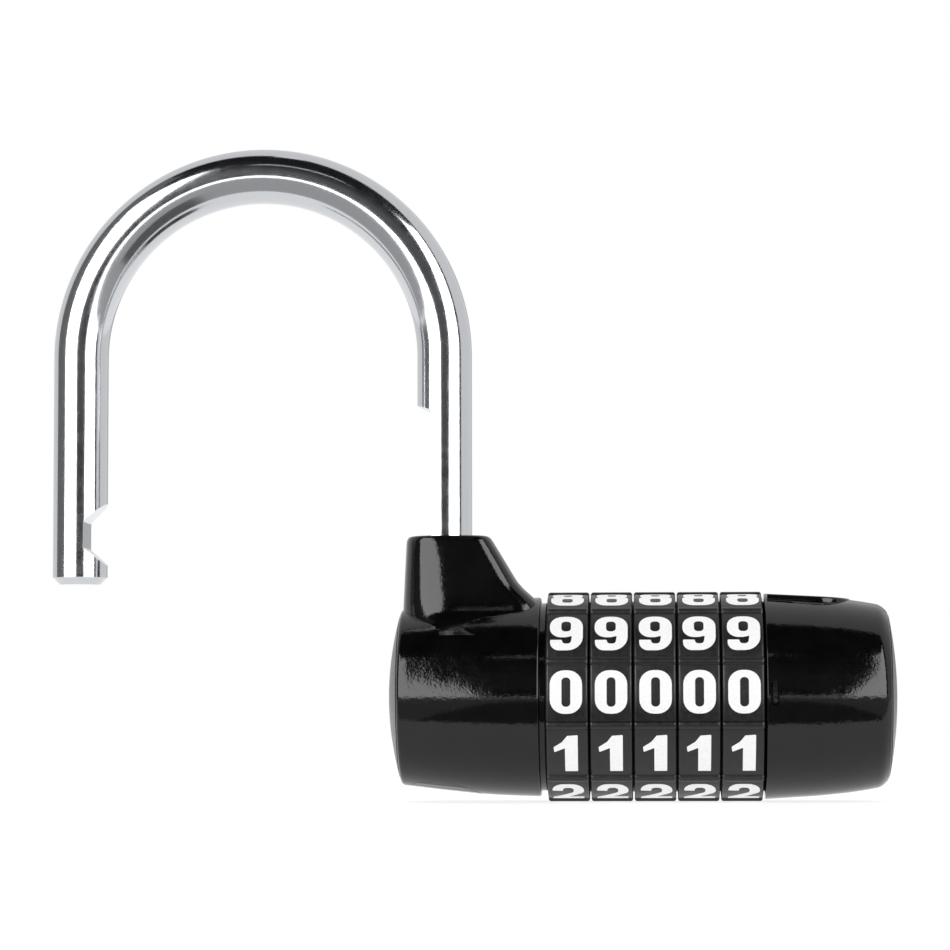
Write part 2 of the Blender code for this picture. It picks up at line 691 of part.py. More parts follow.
def make_bolt_spring():
    low = TUBE_LEFT - RUNNING_GAP - SPRING_POCKET_DEPTH + SPRING_END_GAP + BOLT_SPRING_WIRE
    high = -HEEL_COLLAR_END - SPRING_END_GAP - BOLT_SPRING_WIRE
    coil = helix(BOLT_SPRING_RADIUS, low, high, BOLT_SPRING_TURNS)
    points = [(z, x, y, factor) for x, y, z, factor in coil]
    wire("bolt_spring", points, BOLT_SPRING_WIRE, 1, LOCK, (0, 0, 0), STEEL)


def make_lift_parts():
    """The spring under the heel and the washer that it pushes up."""
    washer_high = HEEL_END_Z - THRUST_WASHER_GAP
    washer_low = washer_high - THRUST_WASHER_THICKNESS
    profile = tube_profile(THRUST_WASHER_RADIUS, THRUST_WASHER_BORE, washer_low, washer_high)
    turned("thrust_washer", profile, 24, LOCK, (HEEL_X, 0, 0), (0, 0, 0), STEEL)
    low = CHAMBER_FLOOR_Z - RUNNING_GAP + SPRING_END_GAP + LIFT_SPRING_WIRE
    high = washer_low - SPRING_END_GAP - LIFT_SPRING_WIRE
    points = helix(LIFT_SPRING_RADIUS, low, high, LIFT_SPRING_TURNS)
    wire("lift_spring", points, LIFT_SPRING_WIRE, 1, LOCK, (HEEL_X, 0, 0), STEEL)


def shackle_path():
    """Heel end, heel leg, half circle, toe leg, chamfered toe end, in the heel axis's frame."""
    chamfer_factor = 1 - TOE_CHAMFER / ROD_RADIUS
    radius = LEG_SPACING / 2
    heel_factor = 1 - HEEL_END_BEVEL / ROD_RADIUS
    points = [(0.0, 0.0, HEEL_END_Z, heel_factor), (0.0, 0.0, HEEL_END_Z + HEEL_END_BEVEL, 1.0)]
    steps = 22
    for i in range(steps + 1):
        x, rise = polar(radius, math.pi * i / steps)
        points.append((x - radius, 0.0, ARCH_Z + rise, 1.0))
    points.append((-LEG_SPACING, 0.0, TOE_END_Z + TOE_CHAMFER, 1.0))
    points.append((-LEG_SPACING, 0.0, TOE_END_Z, chamfer_factor))
    return points


def make_shackle():
    shackle = wire("shackle", shackle_path(), ROD_RADIUS, 6, SWING, (0, 0, 0), CHROME)
    smooth(shackle, 30)
    inner_face = -LEG_SPACING + ROD_RADIUS
    notch_slope = (NOTCH_MOUTH_HALF - NOTCH_FLOOR_HALF) / NOTCH_DEPTH
    mouth_half = NOTCH_MOUTH_HALF + CUT_PAST * notch_slope
    notch_outline = [
        (inner_face + CUT_PAST, NOTCH_Z - mouth_half),
        (inner_face + CUT_PAST, NOTCH_Z + mouth_half),
        (inner_face - NOTCH_DEPTH, NOTCH_Z + NOTCH_FLOOR_HALF),
        (inner_face - NOTCH_DEPTH, NOTCH_Z - NOTCH_FLOOR_HALF),
    ]
    flat_face = -ROD_RADIUS + FLAT_DEPTH
    flat_outline = [
        (flat_face, FLAT_BOTTOM_Z),
        (flat_face, FLAT_TOP_Z - FLAT_SLOPE),
        (-ROD_RADIUS, FLAT_TOP_Z),
        (-ROD_RADIUS - CUT_PAST, FLAT_TOP_Z),
        (-ROD_RADIUS - CUT_PAST, FLAT_BOTTOM_Z),
    ]
    upright = (math.pi / 2, 0, 0)
    width = 3 * ROD_RADIUS
    notch = extruded("notch_cutter", [notch_outline], width, SWING, (0, 0, 0), upright, None)
    flat = extruded("flat_cutter", [flat_outline], width, SWING, (0, 0, 0), upright, None)
    groove_profile = tube_profile(ROD_RADIUS + CUT_PAST, CLIP_GROOVE_RADIUS, *CLIP_GROOVE_Z)
    groove = turned("clip_groove", groove_profile, 24, SWING, (0, 0, 0), (0, 0, 0), None)
    for cutter in (notch, flat, groove):
        boolean(shackle, "DIFFERENCE", cutter)


def make_retaining_clip():
    """An open ring in the heel's groove, stopped by the chamber's shoulder."""
    end = 2 * math.pi - CLIP_HALF_OPENING
    outer = arc(CLIP_RADIUS, CLIP_HALF_OPENING, end, 16)
    inner = arc(CLIP_GROOVE_RADIUS + RUNNING_GAP, end, CLIP_HALF_OPENING, 16)
    outline = outer + inner
    z = sum(CLIP_GROOVE_Z) / 2
    extruded("retaining_clip", [outline], CLIP_THICKNESS, SWING, (0, 0, z), (0, 0, 0), STEEL)


clear_scene()
PARTS = new_collection("combination_padlock")
CUTTERS = new_collection("cutters")
CUTTERS.hide_render = True
LOCK = new_empty("lock_frame", FRAME_LOCATION)
SWING = new_empty("shackle_axis", (HEEL_X, 0, 0), LOCK)

make_heel_housing()
make_toe_housing()
make_end_disc("heel_end_disc", -HEEL_PROFILE[-1][0] * MM, -1, HEEL_DOME)
make_end_disc("toe_end_disc", TOE_PROFILE[-1][0] * MM, 1, TOE_DOME)
make_chamber_plug()
make_core_tube()
make_pin("heel_pin", HEEL_PIN_X, HEEL_PIN_OUTER_Y)
make_pin("toe_pin", TOE_PIN_X, TOE_PIN_OUTER_Y)
for dial_number in range(1, DIALS + 1):
    make_dial(dial_number)
    make_code_sleeve(dial_number)
    make_click_spring(dial_number)
for washer_number in range(1, DIALS):
    make_spacer_washer(washer_number)
make_bolt_spindle()
make_bolt_spring()
make_lift_parts()
make_shackle()
make_retaining_clip()
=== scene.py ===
"""Looks of the five-dial barrel padlock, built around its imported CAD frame."""

import math

import bmesh
import bpy
from mathutils import Matrix, Vector


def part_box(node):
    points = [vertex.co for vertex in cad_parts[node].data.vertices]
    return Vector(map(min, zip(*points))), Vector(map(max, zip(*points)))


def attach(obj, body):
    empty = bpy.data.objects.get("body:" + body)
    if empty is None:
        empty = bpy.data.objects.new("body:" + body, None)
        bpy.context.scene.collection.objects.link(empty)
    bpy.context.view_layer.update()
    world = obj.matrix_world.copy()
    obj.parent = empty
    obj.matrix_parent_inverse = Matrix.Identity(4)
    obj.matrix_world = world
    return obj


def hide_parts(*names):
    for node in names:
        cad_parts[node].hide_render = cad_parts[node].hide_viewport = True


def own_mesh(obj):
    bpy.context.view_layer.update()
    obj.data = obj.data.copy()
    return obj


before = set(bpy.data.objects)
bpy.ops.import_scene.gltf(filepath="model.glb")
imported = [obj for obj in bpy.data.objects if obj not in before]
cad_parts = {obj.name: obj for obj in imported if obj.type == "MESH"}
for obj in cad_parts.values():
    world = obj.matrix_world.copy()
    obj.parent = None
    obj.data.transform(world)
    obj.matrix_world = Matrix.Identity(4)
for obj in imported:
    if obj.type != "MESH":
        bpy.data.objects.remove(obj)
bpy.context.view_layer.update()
SCENE = bpy.context.scene

MM = 0.001
DIALS = 5
FACES = 10
SECTOR = 2 * math.pi / FACES


def middle(node):
    low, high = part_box(node)
    return (Vector(low) + Vector(high)) / 2


# Places that follow the frame: the barrel's axis, the dials' middle and the shackle's two legs.
ROD_RADIUS = 3.5 * MM
AXIS_Z = middle("core_tube").z
DIAL_X = [middle(f"dial_{number}").x for number in range(1, DIALS + 1)]
LOCK_X = DIAL_X[DIALS // 2]
SHACKLE_LOW, SHACKLE_HIGH = (Vector(corner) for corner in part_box("shackle"))
HEEL_X = SHACKLE_HIGH.x - ROD_RADIUS
TOE_X = SHACKLE_LOW.x + ROD_RADIUS
ORIGIN = Vector((LOCK_X, 0.0, AXIS_Z))
SHACKLE_TOE_END = AXIS_Z + 14.45 * MM


# ---------------------------------------------------------------- materials

class Nodes:
    """A small builder for one node material."""

    def __init__(self, name):
        self.material = bpy.data.materials.new(name)
        self.material.use_nodes = True
        self.tree = self.material.node_tree
        self.shader = self.tree.nodes["Principled BSDF"]
        self.coordinates = self.tree.nodes.new("ShaderNodeTexCoord").outputs["Object"]

    def link(self, source, target):
        self.tree.links.new(source, target)

    def noise(self, size, detail=2.0, roughness=0.5, stretch=(1, 1, 1)):
        """Noise whose features are about `size` metres across."""
        mapping = self.tree.nodes.new("ShaderNodeMapping")
        mapping.inputs["Scale"].default_value = stretch
        self.link(self.coordinates, mapping.inputs["Vector"])
        noise = self.tree.nodes.new("ShaderNodeTexNoise")
        noise.inputs["Scale"].default_value = 1 / size
        noise.inputs["Detail"].default_value = detail
        noise.inputs["Roughness"].default_value = roughness
        self.link(mapping.outputs["Vector"], noise.inputs["Vector"])
        return noise.outputs["Fac"]

    def speckle(self, size, low, high):
        """Sparse spots: cells of about `size` metres whose distance lies under a threshold."""
        cells = self.tree.nodes.new("ShaderNodeTexVoronoi")
        cells.inputs["Scale"].default_value = 1 / size
        self.link(self.coordinates, cells.inputs["Vector"])
        return self.ramp(cells.outputs["Distance"], [(low, 1.0), (high, 0.0)])

    def ramp(self, source, stops):
        """Colours or greys at positions of the source's value."""
        ramp = self.tree.nodes.new("ShaderNodeValToRGB")
        elements = ramp.color_ramp.elements
        while len(elements) < len(stops):
            elements.new(0.5)
        for element, (position, value) in zip(elements, stops):
            element.position = position
            color = value if isinstance(value, tuple) else (value, value, value)
            element.color = (*color, 1.0)
        self.link(source, ramp.inputs["Fac"])
        return ramp.outputs["Color"]

    def mix(self, factor, first, second):
        """One colour where the factor is 0, the other where it is 1."""
        mix = self.tree.nodes.new("ShaderNodeMix")
        mix.data_type = "RGBA"
        self.link(factor, mix.inputs[0])
        mix.inputs[6].default_value = (*first, 1.0)
        mix.inputs[7].default_value = (*second, 1.0)
        return mix.outputs[2]

    def bump(self, *layers):
        """Stacks bump layers of (height, depth in metres)."""
        normal = None
        for height, depth in layers:
            bump = self.tree.nodes.new("ShaderNodeBump")
            bump.inputs["Distance"].default_value = depth
            self.link(height, bump.inputs["Height"])
            if normal is not None:
                self.link(normal, bump.inputs["Normal"])
            normal = bump.outputs["Normal"]
        self.link(normal, self.shader.inputs["Normal"])

    def set(self, **values):
        """Sets inputs of the shader to a number or to another node's output."""
        for name, value in values.items():
            socket = self.shader.inputs[name.replace("_", " ")]
            if isinstance(value, float):
                socket.default_value = value
            else:
                self.link(value, socket)


def between(low, high):
    """Ramp stops that spread the middle range of a noise from one value to the other."""
    return [(0.3, low), (0.7, high)]


def housing_paint():
    """Glossy black lacquer on a zinc casting, with a fine orange peel."""
    nodes = Nodes("housing_paint")
    black = between((0.0012, 0.0012, 0.0014), (0.0028, 0.0028, 0.0031))
    shade = nodes.ramp(nodes.noise(3 * MM), black)
    nodes.set(Base_Color=shade, Roughness=nodes.ramp(nodes.noise(0.6 * MM), between(0.07, 0.13)))
    nodes.set(Specular_IOR_Level=0.42)
    peel = nodes.noise(0.35 * MM, 1.5, 0.5)
    swell = nodes.noise(2.2 * MM, 1.0)
    nodes.bump((swell, 0.014 * MM), (peel, 0.011 * MM))
    return nodes.material


def end_paint():
    """Satin black on the pressed end discs, with a fine grain."""
    nodes = Nodes("end_disc_paint")
    shade = nodes.ramp(nodes.noise(2 * MM), between((0.010, 0.010, 0.011), (0.018, 0.018, 0.019)))
    nodes.set(Base_Color=shade, Roughness=nodes.ramp(nodes.noise(0.5 * MM), between(0.26, 0.36)))
    nodes.bump((nodes.noise(0.3 * MM, 3.0), 0.015 * MM))
    return nodes.material


def dial_plastic():
    """Satin black moulded plastic with a fine moulded grain."""
    nodes = Nodes("dial_plastic")
    black = between((0.0045, 0.0045, 0.005), (0.0085, 0.0085, 0.009))
    shade = nodes.ramp(nodes.noise(0.8 * MM, 3.0), black)
    nodes.set(Base_Color=shade, Roughness=nodes.ramp(nodes.noise(0.4 * MM), between(0.30, 0.42)))
    nodes.bump((nodes.noise(1.4 * MM, 2.0), 0.02 * MM), (nodes.noise(0.12 * MM, 3.0), 0.004 * MM))
    return nodes.material


def digit_ink():
    """White pad-printed ink: faintly mottled, a little thinner in places."""
    nodes = Nodes("digit_ink")
    white = [(0.35, (0.87, 0.875, 0.88)), (0.6, (0.95, 0.952, 0.955))]
    mottle = nodes.ramp(nodes.noise(0.3 * MM, 4.0, 0.7), white)
    nodes.set(Base_Color=mottle, Roughness=nodes.ramp(nodes.noise(0.5 * MM), between(0.45, 0.6)))
    nodes.bump((nodes.noise(0.15 * MM, 3.0), 0.004 * MM))
    return nodes.material


def chrome():
    """Bright chrome plate: cool tint, a faint uneven film and fine dust specks."""
    nodes = Nodes("shackle_chrome")
    specks = nodes.speckle(0.55 * MM, 0.05, 0.09)
    tint = nodes.mix(specks, (0.60, 0.615, 0.64), (0.40, 0.40, 0.41))
    film = nodes.noise(1.5 * MM, 4.0, 0.6)
    nodes.set(Base_Color=tint, Metallic=1.0)
    nodes.set(Roughness=nodes.ramp(film, [(0.35, 0.11), (0.75, 0.16)]))
    nodes.bump((nodes.noise(0.9 * MM, 3.0), 0.0015 * MM))
    return nodes.material


def worked_metal(name, dark, light, rough, stretch=(1, 1, 1)):
    """Turned or drawn metal: tool marks in the roughness and the bump."""
    nodes = Nodes(name)
    marks = nodes.noise(0.25 * MM, 3.0, 0.6, stretch)
    cloud = nodes.noise(1.2 * MM, 2.0)
    nodes.set(Base_Color=nodes.ramp(cloud, between(dark, light)), Metallic=1.0)
    nodes.set(Roughness=nodes.ramp(marks, between(rough - 0.06, rough + 0.06)))
    nodes.bump((marks, 0.006 * MM))
    return nodes.material


PAINT = housing_paint()
END_PAINT = end_paint()
PLASTIC = dial_plastic()
INK = digit_ink()
CHROME = chrome()
BRASS = worked_metal("sleeve_brass", (0.60, 0.42, 0.17), (0.78, 0.58, 0.27), 0.28, (0.1, 1, 1))
STEEL = worked_metal("inner_steel", (0.42, 0.43, 0.45), (0.60, 0.61, 0.63), 0.30, (0.1, 1, 1))
SPRING = worked_metal("spring_steel", (0.34, 0.35, 0.37), (0.50, 0.51, 0.53), 0.22)


# ------------------------------------------------------------------- shapes

def new_piece(name, mesh, material, body, replaces=None):
    piece = bpy.data.objects.new(name, mesh)
    SCENE.collection.objects.link(piece)
    piece.data.materials.clear()
    piece.data.materials.append(material)
    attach(piece, body)
    if replaces:
        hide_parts(replaces)
    return piece


def smooth(mesh, degrees):
    mesh.shade_smooth()
    mesh.set_sharp_from_angle(angle=math.radians(degrees))


def mesh_of(name, shape):
    """Turns the bmesh into a mesh and frees it."""
    mesh = bpy.data.meshes.new(name)
    shape.to_mesh(mesh)
    shape.free()
    return mesh


def skin(name, rings, loop=False):
    """A solid through rings of equal count, with flat ends, or closed on itself as a loop."""
    shape = bmesh.new()
    made = [[shape.verts.new(point) for point in ring] for ring in rings]
    count = len(made[0])
    for first, second in zip(made, made[1:] + (made[:1] if loop else [])):
        for i in range(count):
            j = (i + 1) % count
            shape.faces.new((first[i], first[j], second[j], second[i]))
    if not loop:
        shape.faces.new(list(reversed(made[0])))
        shape.faces.new(made[-1])
    bmesh.ops.recalc_face_normals(shape, faces=shape.faces)
    return mesh_of(name, shape)


def cut(mesh, operation, *others):
    """Applies exact booleans of the other meshes to the mesh and returns the result."""
    target = bpy.data.objects.new("boolean_target", mesh)
    SCENE.collection.objects.link(target)
    tools = []
    for other in others:
        tool = bpy.data.objects.new("boolean_tool", other)
        SCENE.collection.objects.link(tool)
        modifier = target.modifiers.new("cut", "BOOLEAN")
        modifier.operation = operation
        modifier.solver = "EXACT"
        modifier.object = tool
        tools.append(tool)
    bpy.context.view_layer.update()
    graph = bpy.context.evaluated_depsgraph_get()
    result = bpy.data.meshes.new_from_object(target.evaluated_get(graph))
    for obj in (target, *tools):
        bpy.data.objects.remove(obj, do_unlink=True)
    return result


def round_corner(before, corner, after, radius, steps=6):
    """Arc points that round a corner of a 2D outline."""
    before, corner, after = Vector(before), Vector(corner), Vector(after)
    to_before = (before - corner).normalized()
    to_after = (after - corner).normalized()
    half = to_before.angle(to_after) / 2
    reach = radius / math.tan(half)
    center = corner + (to_before + to_after).normalized() * (radius / math.sin(half))
    start = corner + to_before * reach - center
    end = corner + to_after * reach - center
    turn = start.angle_signed(end)
    points = []
    for i in range(steps + 1):
        spin = Matrix.Rotation(-turn * i / steps, 2)
        points.append(tuple(center + spin @ start))
    return points


def rounded(points, closed=True):
    """An outline from (x, y, corner radius), with an arc at each corner that has a radius."""
    outline = []
    count = len(points)
    for i, (x, y, radius) in enumerate(points):
        inner = closed or 0 < i < count - 1
        if not radius or not inner:
            outline.append((x, y))
            continue
        before = points[i - 1][:2]
        after = points[(i + 1) % count][:2]
        outline.extend(round_corner(before, (x, y), after, radius))
    return outline


ON_AXIS = 1e-9  # metres: a profile point closer than this is on the axis


def turned_mesh(name, profile, segments, to_world):
    """A solid turned about Z from a profile of (radius, height), then placed by to_world.

    The profile starts and ends on the axis.
    """
    shape = bmesh.new()
    rings = []
    for radius, height in profile:
        if radius < ON_AXIS:
            rings.append([shape.verts.new(to_world @ Vector((0, 0, height)))])
            continue
        ring = []
        for i in range(segments):
            angle = 2 * math.pi * i / segments
            point = Vector((radius * math.cos(angle), radius * math.sin(angle), height))
            ring.append(shape.verts.new(to_world @ point))
        rings.append(ring)
    for first, second in zip(rings, rings[1:]):
        for i in range(segments):
            j = (i + 1) % segments
            low, high = len(first), len(second)
            corners = (first[i % low], first[j % low], second[j % high], second[i % high])
            unique = list(dict.fromkeys(corners))
            if len(unique) > 2:
                shape.faces.new(unique)
    bmesh.ops.recalc_face_normals(shape, faces=shape.faces)
    return mesh_of(name, shape)


# Axes of the turned shapes: the barrel's (+X from its middle), the heel leg's and the toe hole's.
BARREL = Matrix.Translation(ORIGIN) @ Matrix.Rotation(math.pi / 2, 4, "Y")
UPRIGHT = Matrix.Translation((HEEL_X, 0.0, AXIS_Z))
TOE_HOLE_X = 2 * HEEL_X - TOE_X
TOE_UPRIGHT = Matrix.Translation((TOE_HOLE_X, 0.0, AXIS_Z))


# -------------------------------------------------------------------- dials

FACE_TILT = math.radians(1.3)
DIAL_HALF_WIDTH = (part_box("dial_3")[1][0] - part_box("dial_3")[0][0]) / 2
FACE_RADIUS = 12.9 * MM
FACE_HALF_ANGLE = math.radians(15.6)
RIDGE_RADIUS = 13.25 * MM
DIAL_BORE = 8.0 * MM
DIAL_KEY_RADIUS = 7.4 * MM
DIAL_KEY_HALF_WIDTH = 0.7 * MM
FACE_STEPS = 8
RIDGE_STEPS = 7
RIDGE_SQUARENESS = 2.6
RIDGE_FULLNESS = 0.8
EDGE_ROUND = 0.32 * MM
EDGE_STEPS = 6
BOSS_RADIUS = 12.0 * MM
BOSS_HEIGHT = 0.08 * MM


def dial_radius_outline():
    """(angle up from the front, radius) round a dial: crowned faces and rounded ridges."""
    ridge_half = SECTOR / 2 - FACE_HALF_ANGLE
    outline = []
    for face in range(FACES):
        center = FACE_TILT + face * SECTOR
        for step in range(-FACE_STEPS, FACE_STEPS + 1):
            outline.append((center + FACE_HALF_ANGLE * step / FACE_STEPS, FACE_RADIUS))
        for step in range(1, 2 * RIDGE_STEPS):
            share = step / RIDGE_STEPS - 1
            rise = (1 - abs(share) ** RIDGE_SQUARENESS) ** RIDGE_FULLNESS
            angle = center + SECTOR / 2 + share * ridge_half
            outline.append((angle, FACE_RADIUS + (RIDGE_RADIUS - FACE_RADIUS) * rise))
    return outline


def around(x, radius, angle):
    """World point at a distance from the barrel's axis, at an angle up from the front."""
    return (x, -radius * math.cos(angle), AXIS_Z + radius * math.sin(angle))


def bore_radius(angle):
    """The dial's bore, with its inward key at the top."""
    off_top = (angle - math.pi / 2 + math.pi) % (2 * math.pi) - math.pi
    in_key = abs(off_top) < math.asin(DIAL_KEY_HALF_WIDTH / DIAL_BORE)
    return DIAL_KEY_RADIUS if in_key else DIAL_BORE


def dial_mesh(name, x):
    """A ring with rounded edges, and on each side a low round boss beside the next ring."""
    outline = dial_radius_outline()
    side = [(BOSS_RADIUS, -BOSS_HEIGHT), (BOSS_RADIUS + BOSS_HEIGHT, 0)]
    edge = []
    for i in range(EDGE_STEPS + 1):
        turn = math.pi / 2 * i / EDGE_STEPS
        edge.append((EDGE_ROUND * (1 - math.sin(turn)), EDGE_ROUND * (1 - math.cos(turn))))
    rings = []
    for sign in (-1, 1):
        face = x + sign * DIAL_HALF_WIDTH
        half = [[around(face + sign * BOSS_HEIGHT, bore_radius(a), a) for a, r in outline]]
        for radius, inset in side:
            half.append([around(face - sign * inset, radius, a) for a, r in outline])
        for drop, inset in edge:
            half.append([around(face - sign * inset, r - drop, a) for a, r in outline])
        rings.extend(half if sign < 0 else reversed(half))
    return skin(name, rings, loop=True)


# The digits' outlines in millimetres, from corners of (x, y, corner radius). The first outline of
# a digit is its outside and the others are its holes. The 6 is the 9 turned round.
GLYPH_SIZE = (4.1, 5.4)
GLYPHS = {
    "0": [
        [(0.05, 0, 1.75), (0.05, 5.4, 1.75), (4.05, 5.4, 1.75), (4.05, 0, 1.75)],
        [(1.5, 0.87, 0.5), (1.5, 4.5, 0.5), (2.6, 4.5, 0.5), (2.6, 0.87, 0.5)],
    ],
    "1": [
        [(3.4, 0, 0.05), (1.82, 0, 0.05), (1.82, 3.62, 0.05), (0.5, 3.05, 0.08), (0.42, 3.75, 0.1),
         (1.45, 4.45, 0.6), (2.1, 5.3, 0.1), (3.42, 5.4, 0.1)],
    ],
    "2": [
        [(0.1, 0, 0.05), (0.15, 1.05, 0.3), (2.75, 3.1, 0.8), (2.75, 4.5, 0.55), (1.45, 4.5, 0.55),
         (1.4, 3.6, 0.08), (0.1, 3.7, 0.1), (0.15, 5.4, 1.4), (4.05, 5.4, 1.55), (4.05, 3.1, 1.1),
         (2.0, 1.2, 0.1), (4.05, 1.2, 0.05), (4.0, 0, 0.05)],
    ],
    "3": [
        [(0.0, 1.75, 0.1), (1.38, 1.85, 0.1), (1.45, 0.95, 0.45), (2.65, 0.95, 0.55),
         (2.65, 2.35, 0.5), (1.6, 2.35, 0.05), (1.6, 3.3, 0.05), (2.55, 3.3, 0.4),
         (2.55, 4.5, 0.45), (1.5, 4.5, 0.45), (1.4, 3.85, 0.1), (0.1, 3.95, 0.1),
         (0.15, 5.4, 1.35), (3.95, 5.4, 1.35), (3.95, 3.0, 0.7), (3.45, 2.85, 0.1),
         (4.1, 2.6, 0.6), (4.1, 0, 1.5), (0.0, 0, 1.4)],
    ],
    "4": [
        [(2.2, 0, 0.05), (2.2, 1.1, 0.05), (0, 1.1, 0.05), (0, 2.2, 0.1), (2.0, 5.4, 0.1),
         (3.5, 5.4, 0.05), (3.5, 2.2, 0.05), (4.1, 2.2, 0.05), (4.1, 1.1, 0.05), (3.5, 1.1, 0.05),
         (3.5, 0, 0.05)],
        [(1.15, 2.2, 0.05), (2.2, 2.2, 0.05), (2.2, 3.9, 0.05)],
    ],
    "5": [
        [(0.0, 1.7, 0.1), (1.38, 1.8, 0.1), (1.45, 0.95, 0.45), (2.65, 0.95, 0.55),
         (2.65, 2.65, 0.55), (1.55, 2.65, 0.4), (1.45, 2.3, 0.1), (0.15, 2.45, 0.1),
         (0.45, 5.4, 0.05), (3.8, 5.4, 0.05), (3.8, 4.3, 0.05), (1.65, 4.3, 0.05),
         (1.5, 3.35, 0.1), (4.1, 3.6, 1.4), (4.1, 0, 1.5), (0.0, 0, 1.4)],
    ],
    "7": [
        [(0.9, 0, 0.05), (2.4, 0, 0.05), (2.7, 2.4, 1.0), (4.05, 4.4, 0.1), (4.05, 5.4, 0.05),
         (0.1, 5.4, 0.05), (0.1, 4.3, 0.05), (2.45, 4.3, 0.05), (1.2, 2.4, 1.0)],
    ],
    "8": [
        [(0, 0, 1.4), (0, 2.55, 0.6), (0.55, 2.8, 0.15), (0.15, 3.05, 0.6), (0.15, 5.4, 1.3),
         (3.95, 5.4, 1.3), (3.95, 3.05, 0.6), (3.55, 2.8, 0.15), (4.1, 2.55, 0.6), (4.1, 0, 1.4)],
        [(1.5, 3.35, 0.35), (1.5, 4.6, 0.4), (2.6, 4.6, 0.4), (2.6, 3.35, 0.35)],
        [(1.4, 0.85, 0.45), (1.4, 2.3, 0.4), (2.7, 2.3, 0.4), (2.7, 0.85, 0.45)],
    ],
    "9": [
        [(0, 1.9, 1.4), (0, 5.4, 1.7), (4.1, 5.4, 1.8), (4.1, 0, 1.9), (0.05, 0, 1.1),
         (0.05, 1.5, 0.12), (1.5, 1.5, 0.12), (1.6, 0.95, 0.4), (2.6, 0.95, 0.45),
         (2.75, 2.1, 0.06), (2.0, 1.9, 0.6)],
        [(1.42, 2.8, 0.5), (1.42, 4.5, 0.5), (2.62, 4.5, 0.5), (2.62, 2.8, 0.5)],
    ],
}
DIGIT_RAISE = 0.03 * MM
DIGIT_SINK = 0.04 * MM
DIGIT_RISE = 0.10 * MM
DIGIT_SLICES = 18
MERGE_DISTANCE = 0.0005 * MM
SLICE_TOLERANCE = 0.0001 * MM
# How far each dial's print sits to the side and how far single digits stray, in millimetres.
PRINT_SHIFT = [-0.10, 0.02, 0.06, 0.03, 0.10]
PRINT_STRAY = 0.05


def glyph_mesh(name, outlines):
    """A thin flat solid from rounded outlines, centred, sliced so that it can be wrapped."""
    curve = bpy.data.curves.new(name, "CURVE")
    curve.dimensions = "2D"
    curve.fill_mode = "BOTH"
    curve.extrude = (DIGIT_RAISE + DIGIT_SINK) / 2
    for outline in outlines:
        points = rounded(outline)
        spline = curve.splines.new("POLY")
        spline.points.add(len(points) - 1)
        for point, (x, y) in zip(spline.points, points):
            point.co = ((x - GLYPH_SIZE[0] / 2) * MM, (y - GLYPH_SIZE[1] / 2) * MM, 0, 1)
        spline.use_cyclic_u = True
    holder = bpy.data.objects.new(name, curve)
    SCENE.collection.objects.link(holder)
    bpy.context.view_layer.update()
    graph = bpy.context.evaluated_depsgraph_get()
    mesh = bpy.data.meshes.new_from_object(holder.evaluated_get(graph))
    bpy.data.objects.remove(holder, do_unlink=True)
    shape = bmesh.new()
    shape.from_mesh(mesh)
    bmesh.ops.remove_doubles(shape, verts=shape.verts, dist=MERGE_DISTANCE)
    for i in range(1, DIGIT_SLICES):
        height = (i / DIGIT_SLICES - 0.5) * GLYPH_SIZE[1] * MM
        geometry = [*shape.verts, *shape.edges, *shape.faces]
        level = {"plane_co": (0, height, 0), "plane_no": (0, 1, 0)}
        bmesh.ops.bisect_plane(shape, geom=geometry, dist=SLICE_TOLERANCE, **level)
    bmesh.ops.recalc_face_normals(shape, faces=shape.faces)
    shape.to_mesh(mesh)
    shape.free()
    return mesh


def digit_shapes():
    """A flat mesh for each digit."""
    shapes = {digit: glyph_mesh(f"digit_{digit}", outlines) for digit, outlines in GLYPHS.items()}
    six = shapes["9"].copy()
    six.transform(Matrix.Rotation(math.pi, 4, "Z"))
    shapes["6"] = six
    return shapes


def digits_mesh(name, x, shapes, shift):
    """The ten digits of one dial, wrapped round its faces, counting downwards on the front."""
    shape = bmesh.new()
    lift = FACE_RADIUS + (DIGIT_RAISE - DIGIT_SINK) / 2
    for value in range(FACES):
        center = FACE_TILT - value * SECTOR
        wobble = shift + PRINT_STRAY * MM * math.sin(7.3 * value + 1000 * shift)
        rise = DIGIT_RISE + PRINT_STRAY * MM * math.cos(5.1 * value + 3000 * shift)
        copy = shapes[str(value)].copy()
        for vertex in copy.vertices:
            across, up, out = vertex.co
            angle = center + (up + rise) / FACE_RADIUS
            vertex.co = around(x + across + wobble, lift + out, angle)
        shape.from_mesh(copy)
        bpy.data.meshes.remove(copy)
    return mesh_of(name, shape)


def make_dials():
    shapes = digit_shapes()
    for number, x in enumerate(DIAL_X, start=1):
        body = f"dial_body_{number}"
        ring = dial_mesh(f"dial_ring_{number}", x)
        smooth(ring, 32)
        new_piece(f"dial_ring_{number}", ring, PLASTIC, body, f"dial_{number}")
        digits = digits_mesh(f"dial_digits_{number}", x, shapes, PRINT_SHIFT[number - 1] * MM)
        new_piece(f"dial_digits_{number}", digits, INK, body)
    for mesh in shapes.values():
        bpy.data.meshes.remove(mesh)


# ----------------------------------------------------------------- housings

